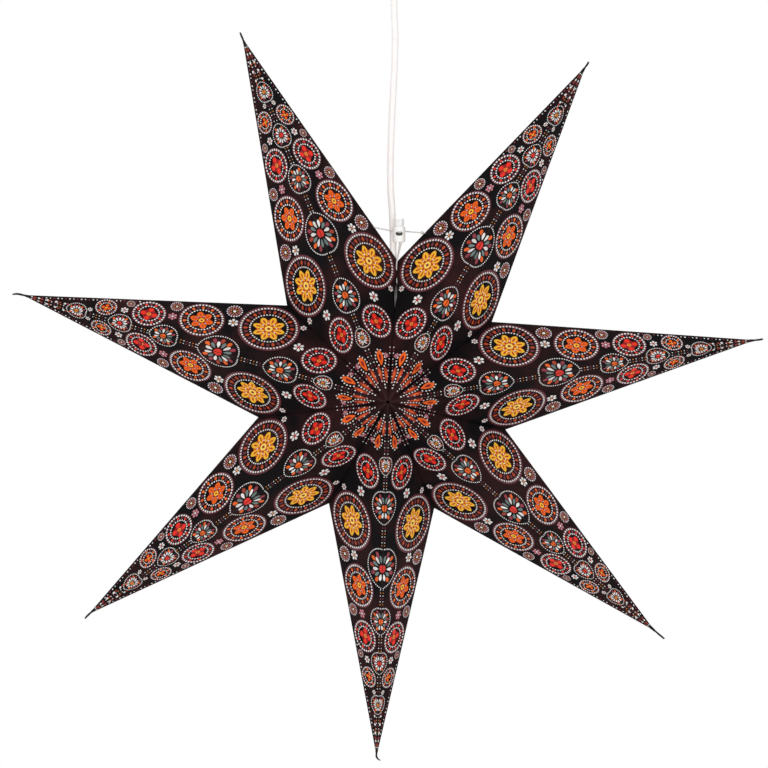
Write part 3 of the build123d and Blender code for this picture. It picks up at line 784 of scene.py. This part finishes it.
def pane_print():
    """The coloured paper in each window with its printed petals and heart."""
    shapes = []
    for u, v, radius, lobes, paper, _ in WINDOWS:
        base, bright, heart = PANES[paper]
        shapes.append((window_rim(u, v, radius, lobes, 1.2), base, PANE_LIFT))
        width = radius * 3.1 / max(lobes, 5)
        for n in range(lobes):
            angle = math.tau * n / lobes
            leaf = petal(u, v, angle, radius * 0.30, radius * 0.98, width, 0.55)
            shapes.append((leaf, bright, PANE_PRINT_LIFT))
            if radius > 8:
                between = angle + math.pi / lobes
                for reach, ink in ((0.46, "white"), (0.63, "amber")):
                    spot = (u + radius * reach * math.cos(between), v + radius * reach * math.sin(between))
                    shapes.append((circle(*spot, radius * 0.05, BEAD_SIDES), ink, PANE_HEART_LIFT))
                vein = petal(u, v, angle, radius * 0.42, radius * 0.8, width * 0.32)
                shapes.append((vein, "deep_orange", PANE_HEART_LIFT))
        shapes.append((circle(u, v, radius * 0.24, 18), heart, PANE_PRINT_LIFT))
        shapes.append((circle(u, v, radius * 0.1, BEAD_SIDES), "deep_red", PANE_HEART_LIFT))
    return shapes


# Sheets


def facet_outline():
    """Places round the edge of one facet, closer together near the seam's corner."""
    outline = []
    for n in range(RIDGE_PARTS):
        outline.append((APEX_CUT + (RIDGE_LENGTH - APEX_CUT) * n / RIDGE_PARTS, 0.0))
    for share in [n / EDGE_PARTS for n in range(EDGE_PARTS - 1)] + list(NEAR_EDGE):
        outline.append((RIDGE_LENGTH + (VALLEY_U - RIDGE_LENGTH) * share, VALLEY_V * share))
    for back in list(NEAR_FOLD) + [0.12 + 0.045 * n for n in range(19)]:
        outline.append((VALLEY_U * (1 - back), VALLEY_V * (1 - back)))
    cut = APEX_CUT / VALLEY_LENGTH
    outline.append((VALLEY_U * cut, VALLEY_V * cut))
    return outline


def inner_places():
    """Places inside a facet, on a grid that is finer near the seam's corner."""
    places = []
    for step, reach in GRIDS:
        for row in range(1, int(VALLEY_V / step) + 1):
            for column in range(1, int(RIDGE_LENGTH / step)):
                spot = (column * step + (row % 2) * step / 2, row * step)
                inside = edge_distance(*spot) > 0.3 * step and valley_distance(*spot) > 0.3 * step
                near = math.dist(spot, (VALLEY_U, VALLEY_V)) < reach
                clear = all(math.dist(spot, window[:2]) > window[2] + 1.2 for window in WINDOWS)
                if inside and near and clear:
                    places.append(spot)
    return places


def fold_distances(u, v):
    """How far a place is from the ridge, the outer edge and the valley fold."""
    return v, edge_distance(u, v), valley_distance(u, v)


def beside_fold(u, v):
    """The place a little inside the facet from one on its outline."""
    inward = (
        (0.0, 1.0),
        (-VALLEY_V / EDGE_LENGTH, (VALLEY_U - RIDGE_LENGTH) / EDGE_LENGTH),
        (VALLEY_V / VALLEY_LENGTH, -VALLEY_U / VALLEY_LENGTH),
    )
    distances = [abs(distance) for distance in fold_distances(u, v)]
    du, dv = inward[distances.index(min(distances))]
    return u + du * FOLD_BAND, v + dv * FOLD_BAND


def facet_sheet():
    """One facet laid flat: places and triangles, with the windows cut out."""
    places = facet_outline()
    edges = [(n, (n + 1) % len(places)) for n in range(len(places))]
    inset = [beside_fold(*spot) for spot in places]
    for window in WINDOWS:
        rim = window_rim(*window[:4])
        start = len(places)
        places += rim
        edges += [(start + n, start + (n + 1) % len(rim)) for n in range(len(rim))]
    places += inner_places()
    places += [spot for spot in inset if min(fold_distances(*spot)) > FOLD_BAND / 4]
    flat, _, faces, *_ = delaunay_2d_cdt([Vector(spot) for spot in places], edges, [], 1, 1e-5)
    kept = []
    for face in faces:
        middle = sum((flat[n] for n in face), Vector((0, 0))) / len(face)
        if not any(in_window(middle, window) for window in WINDOWS):
            kept.append(list(face))
    return [tuple(spot) for spot in flat], kept


def rubbed(u, v):
    """How worn the card is: only right on a fold or an edge, and not evenly."""
    nearest = min(v, edge_distance(u, v), valley_distance(u, v) + 0.7)
    patchy = WEAR + WEAR * math.sin(u * 0.9) * math.sin(u * 0.37 + v)
    return max(0.0, 1 - nearest / WEAR_REACH) * patchy


class Sheet:
    """Collects the faces of one mesh, with a colour or wear value for each place."""

    def __init__(self):
        self.places = []
        self.faces = []
        self.values = []

    def add(self, places, faces, values):
        start = len(self.places)
        self.places += places
        self.faces += [[start + n for n in face] for face in faces]
        self.values += values

    def piece(self, name, material, attribute_name):
        mesh = bpy.data.meshes.new(name)
        mesh.from_pydata(self.places, [], self.faces)
        if attribute_name == "ink":
            layer = mesh.color_attributes.new("ink", "FLOAT_COLOR", "POINT")
            for spot, ink in zip(layer.data, self.values):
                spot.color = (*ink, 1)
        else:
            layer = mesh.attributes.new(attribute_name, "FLOAT", "POINT")
            layer.data.foreach_set("value", self.values)
        mesh.materials.append(material)
        piece = bpy.data.objects.new(name, mesh)
        bpy.context.scene.collection.objects.link(piece)
        return piece


def ordered(facet, face):
    """Corners of a face so that it looks outwards."""
    return list(reversed(face)) if facet.flipped else list(face)


def add_flap(sheet, facet):
    """The glue flap that turns in along a valley fold."""
    apex, _, valley = facet.corners
    way = (apex - valley).normalized()
    first = SEAM_FLAP_START if facet.by_seam else FLAP_START
    places = []
    for n in range(FLAP_PARTS + 1):
        share = first + (FLAP_END - first) * n / FLAP_PARTS
        root = facet.place(VALLEY_U * (1 - share), VALLEY_V * (1 - share))
        inward = CENTRE * MM - root
        inward = inward - way * inward.dot(way)
        from_end = min(n, FLAP_PARTS - n)
        width = min(FLAP_WIDTH * MM, inward.length * 0.8) * min(1.0, 0.25 + from_end * 0.4)
        aside = facet.from_seam * (SEAM_FLAP_LEAN * width if facet.by_seam else 0.0)
        places += [root, root + inward.normalized() * width + aside]
    faces = [ordered(facet, [2 * n, 2 * n + 2, 2 * n + 3, 2 * n + 1]) for n in range(FLAP_PARTS)]
    sheet.add(places, faces, [0.0] * len(places))


def add_spike(sheet, number):
    """The twisted end of the card past the tip, bent a little its own way."""
    tip = tip_place(number)
    length, hook = TIPS[number][2:]
    out = (tip - CENTRE).normalized()
    depth = Vector((0, 1, 0))
    side = out.cross(depth)
    bend = random.uniform(-SPIKE_SWAY, SPIKE_SWAY)
    places, values = [], []
    for n in range(SPIKE_ROWS):
        share = n / (SPIKE_ROWS - 1)
        aside = bend * share**2 + hook * share**5
        spot = tip + out * (share * (length + SPIKE_ROOT) - SPIKE_ROOT) + side * aside
        half = SPIKE_WIDTH / 2 * (SPIKE_START - SPIKE_LOSS * share)
        turn = SPIKE_TURN + share * SPIKE_TWIST
        wide = (side * math.cos(turn) + depth * math.sin(turn)) * half
        thin = (depth * math.cos(turn) - side * math.sin(turn)) * half * SPIKE_THICKNESS
        places += [(spot + offset) * MM for offset in (wide, thin, -wide, -thin)]
        values += [0.3 * share] * 4
    faces = []
    for n in range(SPIKE_ROWS - 1):
        low, high = 4 * n, 4 * n + 4
        faces += [[low + i, low + (i + 1) % 4, high + (i + 1) % 4, high + i] for i in range(4)]
    last = 4 * (SPIKE_ROWS - 1)
    faces.append([last, last + 1, last + 2, last + 3])
    sheet.add(places, faces, values)


def folded_card(number, facets, material):
    """The card of a point: four facets, glue flaps and the pinched spike, in one folded sheet."""
    sheet = Sheet()
    flat, faces = CARD_SHEET
    for facet in facets:
        places = [facet.place(u, v) for u, v in flat]
        sheet.add(places, [ordered(facet, face) for face in faces], [rubbed(u, v) for u, v in flat])
    for facet in facets:
        add_flap(sheet, facet)
    add_spike(sheet, number)
    piece = sheet.piece(f"folded_card_{number + 1}", material, "rub")
    weld = bmesh.new()
    weld.from_mesh(piece.data)
    bmesh.ops.remove_doubles(weld, verts=weld.verts, dist=WELD * MM)
    weld.to_mesh(piece.data)
    weld.free()
    piece.data.shade_smooth()
    piece.data.set_sharp_from_angle(angle=math.radians(SHARP_FOLD))
    thick = piece.modifiers.new("card", "SOLIDIFY")
    thick.thickness = CARD * MM
    thick.offset = -1
    return piece


def printed(number, facets, material):
    """All that is printed on the outside of a point."""
    sheet = Sheet()
    for facet in facets:
        for outline, ink, lift in PRINT_SHAPES:
            fade = random.uniform(INK_FADE, 1.0)
            colour = tuple(channel * fade for channel in INKS[ink])
            places = [facet.place(u, v, lift) for u, v in outline]
            sheet.add(places, [ordered(facet, range(len(places)))], [colour] * len(places))
    return sheet.piece(f"card_print_{number + 1}", material, "ink")


def window_panes(number, facets, material):
    """The lining of a point and the coloured papers behind its windows."""
    sheet = Sheet()
    flat, faces = CARD_SHEET
    inner = [face for face in faces if min(flat[n][1] for n in face) > LINING_INSET]
    for facet in facets:
        places = [facet.place(u, v, LINING_LIFT) for u, v in flat]
        sheet.add(places, [ordered(facet, face) for face in inner], [INKS["deep_orange"]] * len(places))
        for outline, ink, lift in PANE_SHAPES:
            places = [facet.place(u, v, lift) for u, v in outline]
            sheet.add(places, [ordered(facet, range(len(places)))], [INKS[ink]] * len(places))
    piece = sheet.piece(f"window_panes_{number + 1}", material, "ink")
    trim = bmesh.new()
    trim.from_mesh(piece.data)
    bmesh.ops.delete(trim, geom=[place for place in trim.verts if not place.link_faces], context="VERTS")
    trim.to_mesh(piece.data)
    trim.free()
    return piece


CARD_SHEET = facet_sheet()
PRINT_SHAPES = facet_print()
PANE_SHAPES = pane_print()


def make_star():
    card = card_material()
    ink = coloured_material("printed_ink", 0.5, 420.0, 0.12, 0.22, Specular_IOR_Level=0.3)
    paper = coloured_material("window_paper", 0.45, 300.0, 0.3, 0.1, Specular_IOR_Level=0.15)
    for number in range(POINT_COUNT):
        facets = [Facet(apex, number, fold) for apex in APEXES for fold in (number + 1, number)]
        sheet = folded_card(number, facets, card)
        ornament = printed(number, facets, ink)
        panes = window_panes(number, facets, paper)
        for piece, slot in ((sheet, "black_card"), (ornament, "black_card"), (panes, "window_paper")):
            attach(piece, "star")
        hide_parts(f"star_point_{number + 1}")
        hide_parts(f"star_liner_{number + 1}")


# Cord and hardware


def make_cord():
    curve = bpy.data.curves.new("lamp_cord", "CURVE")
    curve.dimensions = "3D"
    curve.bevel_depth = CORD_DIAMETER / 2 * MM
    curve.bevel_resolution = 5
    curve.resolution_u = 16
    curve.use_fill_caps = True
    spline = curve.splines.new("NURBS")
    spline.points.add(len(CORD_ROUTE) - 1)
    for point, spot in zip(spline.points, CORD_ROUTE):
        point.co = (*[x * MM for x in spot], 1)
    spline.order_u = 3
    spline.use_endpoint_u = True
    cord = bpy.data.objects.new("lamp_cord", curve)
    bpy.context.scene.collection.objects.link(cord)
    sheath = moulded_material(
        "cord_sheath", (0.91, 0.855, 0.84), (0.95, 0.895, 0.885), 0.42, 180.0,
        Subsurface_Weight=0.7, Subsurface_Radius=(0.005, 0.0045, 0.004),
    )
    curve.materials.append(sheath)
    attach(cord, "hanger")
    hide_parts("pendant_cord")


def make_spring():
    """The lock's coil spring, drawn once at the length of the solid it stands in for."""
    low, high = (Vector(corner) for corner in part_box("lock_spring"))
    middle = (low + high) / 2
    wire = SPRING_WIRE / 2 * MM
    coil = (high.x - low.x) / 2 - wire
    rise = high.z - low.z - 2 * wire
    rings = SPRING_TURNS * SPRING_STEPS
    places, faces = [], []
    for n in range(int(rings) + 1):
        turn = math.tau * n / SPRING_STEPS
        out = Vector((math.cos(turn), math.sin(turn), 0))
        spot = Vector((middle.x, middle.y, low.z + wire + rise * n / rings)) + out * coil
        for side in range(BEAD_SIDES):
            angle = math.tau * side / BEAD_SIDES
            places.append(spot + (out * math.cos(angle) + Vector((0, 0, 1)) * math.sin(angle)) * wire)
    for n in range(int(rings)):
        for side in range(BEAD_SIDES):
            first, second = n * BEAD_SIDES + side, n * BEAD_SIDES + (side + 1) % BEAD_SIDES
            faces.append((first, second, second + BEAD_SIDES, first + BEAD_SIDES))
    last = int(rings) * BEAD_SIDES
    faces += [tuple(reversed(range(BEAD_SIDES))), tuple(range(last, last + BEAD_SIDES))]
    mesh = bpy.data.meshes.new("coil_spring")
    mesh.from_pydata(places, [], faces)
    mesh.shade_smooth()
    mesh.materials.append(brushed_material("spring_steel", (0.42, 0.42, 0.43), (0.6, 0.6, 0.6), 0.3))
    spring = bpy.data.objects.new("coil_spring", mesh)
    bpy.context.scene.collection.objects.link(spring)
    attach(spring, "star")
    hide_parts("lock_spring")
    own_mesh(spring)


def finish_nodes():
    """Better materials for the solids that stay as they are."""
    plastic = moulded_material("white_plastic", (0.84, 0.83, 0.81), (0.90, 0.89, 0.87), 0.38)
    gloss = moulded_material("white_gloss", (0.82, 0.81, 0.79), (0.88, 0.87, 0.85), 0.18, 60.0, 0.03)
    ceramic = moulded_material("bare_ceramic", (0.70, 0.68, 0.63), (0.82, 0.80, 0.76), 0.6, 700.0, 0.3)
    wire = moulded_material("wire_insulation", (0.03, 0.06, 0.22), (0.05, 0.09, 0.3), 0.4)
    brass = brushed_material("pressed_brass", (0.55, 0.36, 0.12), (0.72, 0.52, 0.22), 0.3)
    nickel = brushed_material("plated_nickel", (0.52, 0.51, 0.48), (0.68, 0.67, 0.64), 0.22)
    steel = brushed_material("zinc_steel", (0.42, 0.42, 0.43), (0.6, 0.6, 0.6), 0.34)
    black_glass = moulded_material("black_glass", (0.01, 0.01, 0.01), (0.02, 0.02, 0.02), 0.12, 90.0)
    glass = moulded_material(
        "bulb_glass", (0.95, 0.95, 0.94), (1.0, 1.0, 0.99), 0.03, 40.0, 0.01,
        Transmission_Weight=1.0, IOR=1.45,
    )
    phosphor = moulded_material("filament_coat", (0.75, 0.42, 0.05), (0.88, 0.55, 0.1), 0.55, 900.0, 0.2)
    finishes = (
        (plastic, ("lock_barrel", "holder_cap", "holder_skirt", "holder_grip")),
        (plastic, ("cord_clamp", "terminal_block", "canopy_bush")),
        (button_material(), ("lock_button",)),
        (gloss, ("canopy_cup",)),
        (ceramic, ("holder_core",)),
        (wire, ("holder_leads", "ceiling_leads")),
        (brass, ("holder_terminals", "thread_sleeve", "centre_contact")),
        (nickel, ("bulb_cap", "bulb_contact")),
        (steel, ("ceiling_bracket", "clamp_screws", "block_screws", "bush_screw")),
        (black_glass, ("bulb_insulator",)),
        (glass, ("bulb_glass", "bulb_stem")),
        (phosphor, ("bulb_filaments",)),
        (string_material(), ("tie_string",)),
    )
    for material, names in finishes:
        for name in names:
            for slot in bpy.data.objects[name].material_slots:
                slot.material = material


# Stage


def floor_material():
    """A pale matt floor that is nearly white to the eye and keeps its shadows."""
    material = moulded_material("pale_floor", (0.80, 0.80, 0.79), (0.83, 0.83, 0.82), 0.7, 4.0)
    tree = material.node_tree
    surface = tree.nodes["Principled BSDF"]
    white = tree.nodes.new("ShaderNodeEmission")
    path = tree.nodes.new("ShaderNodeLightPath")
    share = spread(tree, path.outputs["Is Camera Ray"], 0.0, FLOOR_WHITE)
    mix = tree.nodes.new("ShaderNodeMixShader")
    tree.links.new(share, mix.inputs["Fac"])
    tree.links.new(surface.outputs["BSDF"], mix.inputs[1])
    tree.links.new(white.outputs["Emission"], mix.inputs[2])
    tree.links.new(mix.outputs["Shader"], tree.nodes["Material Output"].inputs["Surface"])
    return material


def make_floor():
    mesh = bpy.data.meshes.new("floor")
    signs = ((-1, -1), (1, -1), (1, 1), (-1, 1))
    corners = [(x * FLOOR_HALF, y * FLOOR_HALF, FLOOR_HEIGHT) for x, y in signs]
    mesh.from_pydata(corners, [], [(0, 1, 2, 3)])
    mesh.materials.append(floor_material())
    floor = bpy.data.objects.new("floor", mesh)
    bpy.context.scene.collection.objects.link(floor)


def make_world():
    """White to the eye, softer as a light."""
    world = bpy.data.worlds.new("studio")
    bpy.context.scene.world = world
    world.use_nodes = True
    tree = world.node_tree
    glow = tree.nodes["Background"]
    glow.inputs["Color"].default_value = (1, 1, 1, 1)
    glow.inputs["Strength"].default_value = SKY_LIGHT
    seen = tree.nodes.new("ShaderNodeBackground")
    seen.inputs["Color"].default_value = (1, 1, 1, 1)
    path = tree.nodes.new("ShaderNodeLightPath")
    mix = tree.nodes.new("ShaderNodeMixShader")
    shown = path.outputs["Is Camera Ray"]
    for ray in ("Is Glossy Ray", "Is Transmission Ray"):
        either = tree.nodes.new("ShaderNodeMath")
        either.operation = "MAXIMUM"
        tree.links.new(shown, either.inputs[0])
        tree.links.new(path.outputs[ray], either.inputs[1])
        shown = either.outputs["Value"]
    tree.links.new(shown, mix.inputs["Fac"])
    tree.links.new(glow.outputs["Background"], mix.inputs[1])
    tree.links.new(seen.outputs["Background"], mix.inputs[2])
    tree.links.new(mix.outputs["Shader"], tree.nodes["World Output"].inputs["Surface"])


def lamp(name, place, size, power):
    """A soft square lamp that faces the star."""
    light = bpy.data.lights.new(name, "AREA")
    light.size = size
    light.energy = power
    holder = bpy.data.objects.new(name, light)
    bpy.context.scene.collection.objects.link(holder)
    holder.location = place
    holder.rotation_euler = (CENTRE * MM - Vector(place)).to_track_quat("-Z", "Y").to_euler()


def make_camera():
    target = (CENTRE + LOOK_OFFSET) * MM
    azimuth, elevation = math.radians(VIEW_AZIMUTH), math.radians(VIEW_ELEVATION)
    level = Vector((math.sin(azimuth), -math.cos(azimuth), 0)) * math.cos(elevation)
    back = level + Vector((0, 0, math.sin(elevation)))
    lens = bpy.data.cameras.new("camera")
    lens.sensor_width = SENSOR
    lens.lens = PIXELS_PER_MM * VIEW_DISTANCE / PICTURE * lens.sensor_width
    lens.clip_end = SIGHT
    camera = bpy.data.objects.new("camera", lens)
    bpy.context.scene.collection.objects.link(camera)
    camera.location = target + back * VIEW_DISTANCE * MM
    camera.rotation_euler = (-back).to_track_quat("-Z", "Y").to_euler()
    bpy.context.scene.camera = camera


bpy.context.scene.view_settings.view_transform = "Standard"
make_camera()
make_cord()
make_star()
make_spring()
finish_nodes()
make_floor()
make_world()
for lamp_name, (place, size, power) in LAMPS.items():
    lamp(lamp_name, place, size, power)
